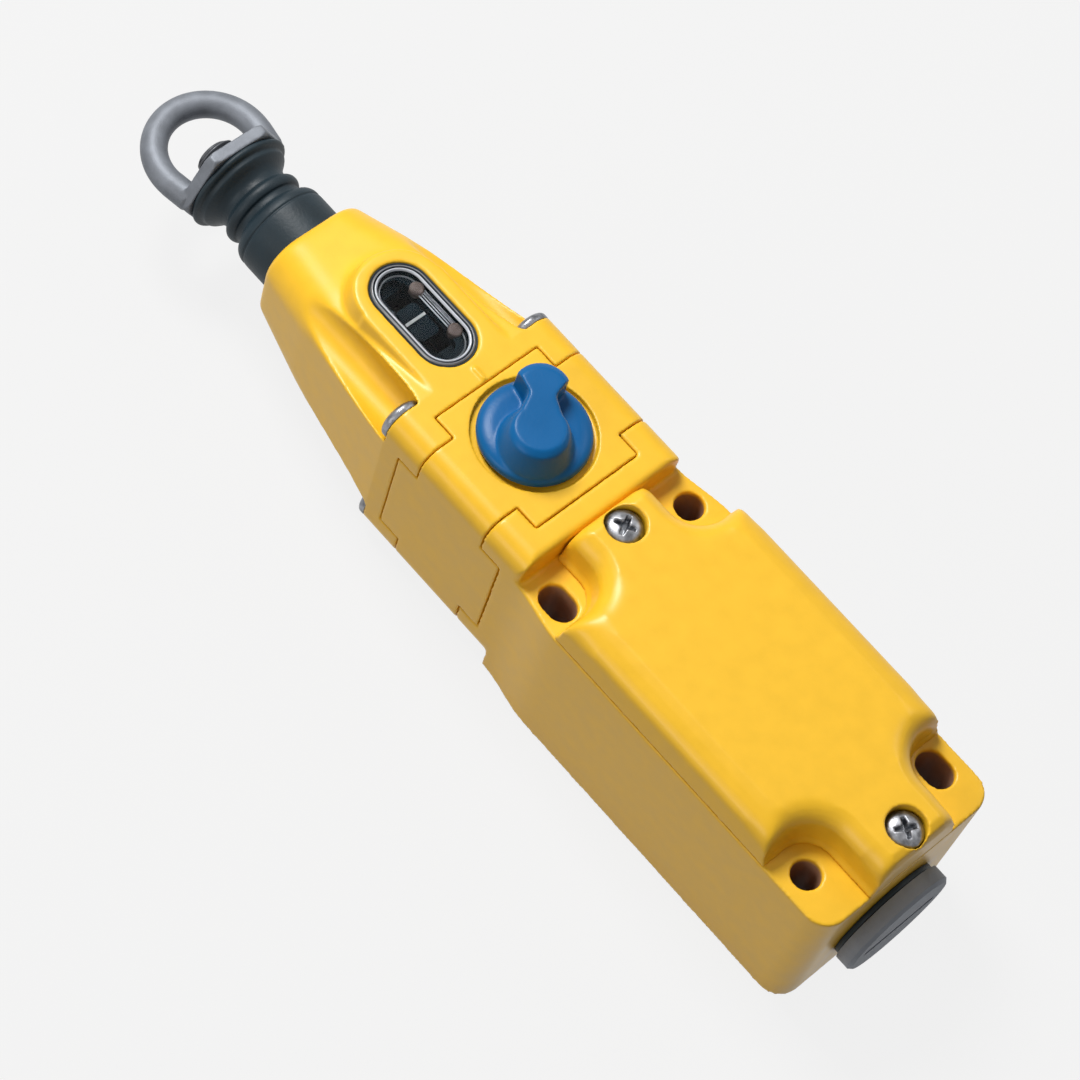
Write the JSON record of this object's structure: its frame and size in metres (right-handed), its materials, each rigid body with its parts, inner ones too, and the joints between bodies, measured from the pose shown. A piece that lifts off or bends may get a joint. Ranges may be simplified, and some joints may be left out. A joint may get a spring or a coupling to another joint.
{
  "type": "rope pull switch",
  "caption": "Rope pull safety switch: cast yellow housing with screwed cover, turning reset knob, tapered nose with tension window, rubber boot and pull eye.",
  "frame": {"origin": "centre of the four mounting holes on the flat back face", "axes": "+X along the body from the pull eye towards the conduit end, +Y across it, +Z out of the cover"},
  "size_m": [0.1918, 0.04, 0.0444],
  "materials": {
    "cast_yellow": "yellow powder coat on die-cast metal",
    "black_rubber": "matt moulded",
    "zinc_screw": "bright zinc plated",
    "clear_lens": "clear polished",
    "black_plastic": "fine moulded",
    "peg_plastic": "moulded",
    "white_mark": "matt",
    "steel": "turned",
    "eye_steel": "forged, zinc plated",
    "brass": "turned",
    "blue_plastic": "satin moulded",
    "red_plastic": "moulded",
    "plug_plastic": "moulded"
  },
  "bodies": {
    "body": {"main_housing": "cast_yellow", "cover": "cast_yellow", "cover_gasket": "black_rubber", "cover_screws": "zinc_screw", "reset_block": "cast_yellow", "nose_housing": "cast_yellow", "head_screws": "zinc_screw", "window_lens": "clear_lens", "window_seal": "black_rubber", "window_frame": "black_plastic", "window_pegs": "peg_plastic", "window_rail": "steel", "front_bush": "brass", "rear_bush": "brass", "spring_seat": "steel", "run_spring": "steel", "rubber_boot": "black_rubber", "latch_plate": "steel", "contact_base": "black_plastic", "base_screws": "zinc_screw", "fixed_contacts": "brass", "terminal_clamps": "zinc_screw", "terminal_screws": "zinc_screw", "carriage_spring": "steel", "conduit_plug": "plug_plastic", "plug_washer": "black_rubber", "earth_screw": "zinc_screw", "earth_clamp": "brass"},
    "rod": {"pull_rod": "steel", "eye_nut": "eye_steel", "indicator_slide": "black_plastic", "indicator_line": "white_mark", "indicator_arm": "steel", "spring_collar": "steel", "collar_clip": "steel"},
    "knob": {"reset_knob": "blue_plastic", "knob_shaft": "steel", "shaft_oring": "black_rubber", "shaft_clip": "steel"},
    "latch": {"latch_slide": "steel"},
    "carriage": {"contact_carriage": "red_plastic", "contact_bridges": "brass", "drive_pin": "steel"}
  },
  "joints": [
    {"name": "rod_slide", "type": "slide", "parent": "body", "child": "rod", "axis": [-1, 0, 0], "range_m": [-0.004, 0.005], "stiffness_N_per_m": 1500, "deforming": ["rubber_boot", "run_spring", "carriage_spring"]},
    {"name": "knob_turn", "type": "hinge", "parent": "body", "child": "knob", "pos_m": [-0.05415, 0, 0.0395], "axis": [0, 0, 1], "range_deg": [0, 90]},
    {"name": "latch_shift", "type": "slide", "parent": "body", "child": "latch", "axis": [0, 1, 0], "range_m": [0, 0.00311]},
    {"name": "carriage_slide", "type": "slide", "parent": "body", "child": "carriage", "axis": [-1, 0, 0], "range_m": [-0.004, 0.005]}
  ],
  "couplings": [
    {"joint": "knob_turn", "follows": "latch_shift", "rad_per_m": 504.86},
    {"joint": "carriage_slide", "follows": "rod_slide", "ratio": 1}
  ]
}
